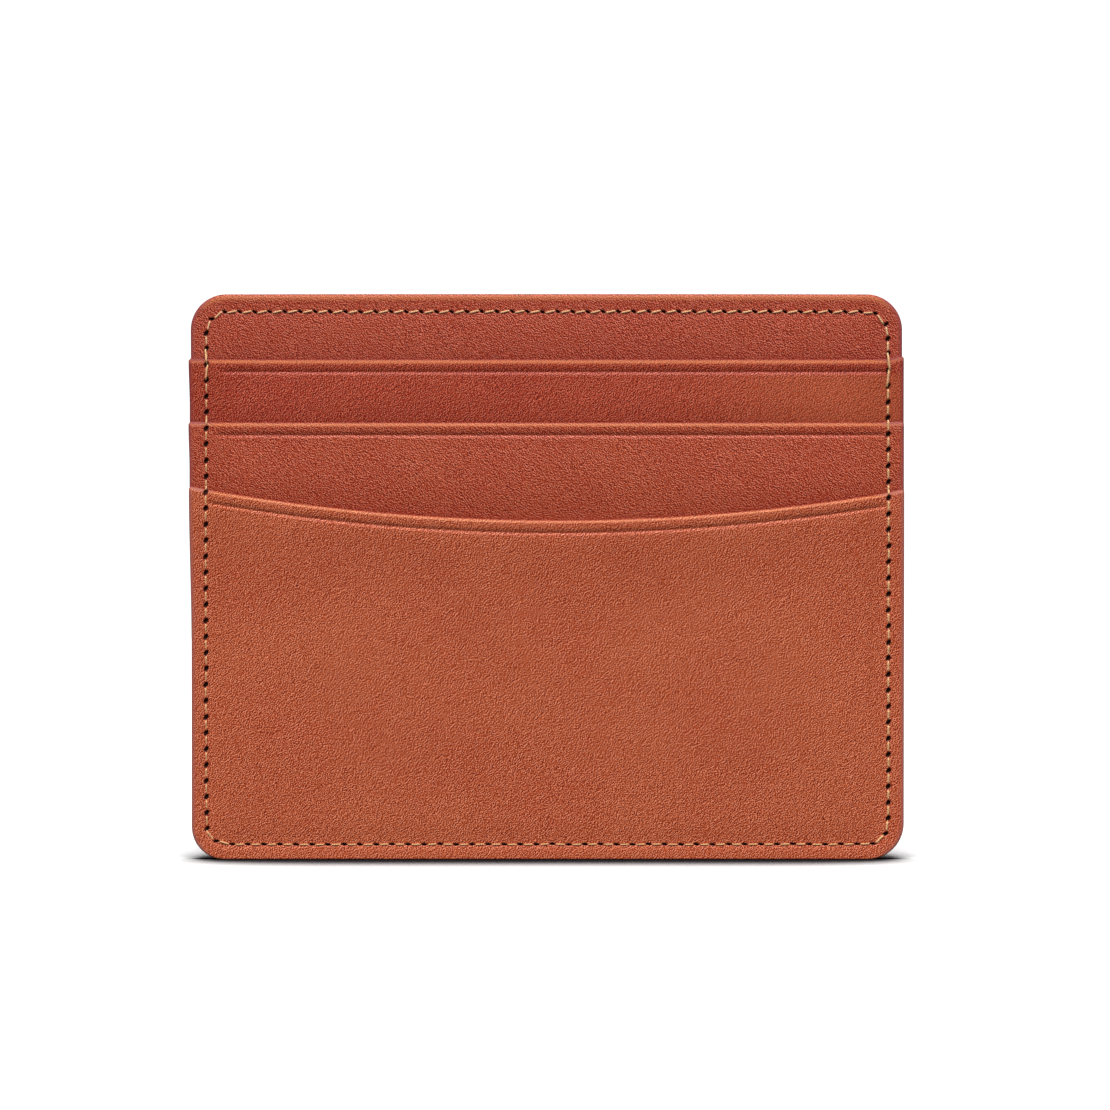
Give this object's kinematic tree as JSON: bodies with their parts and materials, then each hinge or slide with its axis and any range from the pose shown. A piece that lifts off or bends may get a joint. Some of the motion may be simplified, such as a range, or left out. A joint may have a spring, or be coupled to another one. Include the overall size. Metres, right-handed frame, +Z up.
{
  "type": "card holder",
  "caption": "Slim stitched leather card holder with stepped card slots and a curved pocket on each side, and an open-topped note compartment between its two halves.",
  "frame": {"origin": "middle of the bottom edge, midway through the thickness", "axes": "+X along the width, +Y from front to back, +Z up through the open edge; the front faces -Y"},
  "size_m": [0.1004, 0.007, 0.0793],
  "materials": {
    "body_leather": "smooth aniline calf, fine grain, semi-matt",
    "facing_leather": "smooth aniline calf, fine grain, semi-matt, creased mouth",
    "pocket_leather": "smooth aniline calf, fine grain, semi-matt, creased mouth",
    "lining_cloth": "fine twill lining, matt",
    "tongue_cloth": "fine plain-weave lining, matt",
    "seam_thread": "twisted polyester, satin",
    "tack_thread": "twisted polyester, satin"
  },
  "bodies": {
    "root": {"front_body_panel": "body_leather", "front_body_lining": "lining_cloth", "front_slot_1_facing": "facing_leather", "front_slot_1_tongue": "tongue_cloth", "front_slot_1_tack_thread": "tack_thread", "front_slot_2_facing": "facing_leather", "front_slot_2_tongue": "tongue_cloth", "front_slot_2_tack_thread": "tack_thread", "front_pocket_panel": "pocket_leather", "front_top_needle_thread": "seam_thread", "front_top_bobbin_thread": "seam_thread", "back_body_panel": "body_leather", "back_body_lining": "lining_cloth", "back_slot_1_facing": "facing_leather", "back_slot_1_tongue": "tongue_cloth", "back_slot_1_tack_thread": "tack_thread", "back_slot_2_facing": "facing_leather", "back_slot_2_tongue": "tongue_cloth", "back_slot_2_tack_thread": "tack_thread", "back_pocket_panel": "pocket_leather", "back_top_needle_thread": "seam_thread", "back_top_bobbin_thread": "seam_thread", "body_seam_needle_thread": "seam_thread", "body_seam_bobbin_thread": "seam_thread"}
  },
  "joints": []
}
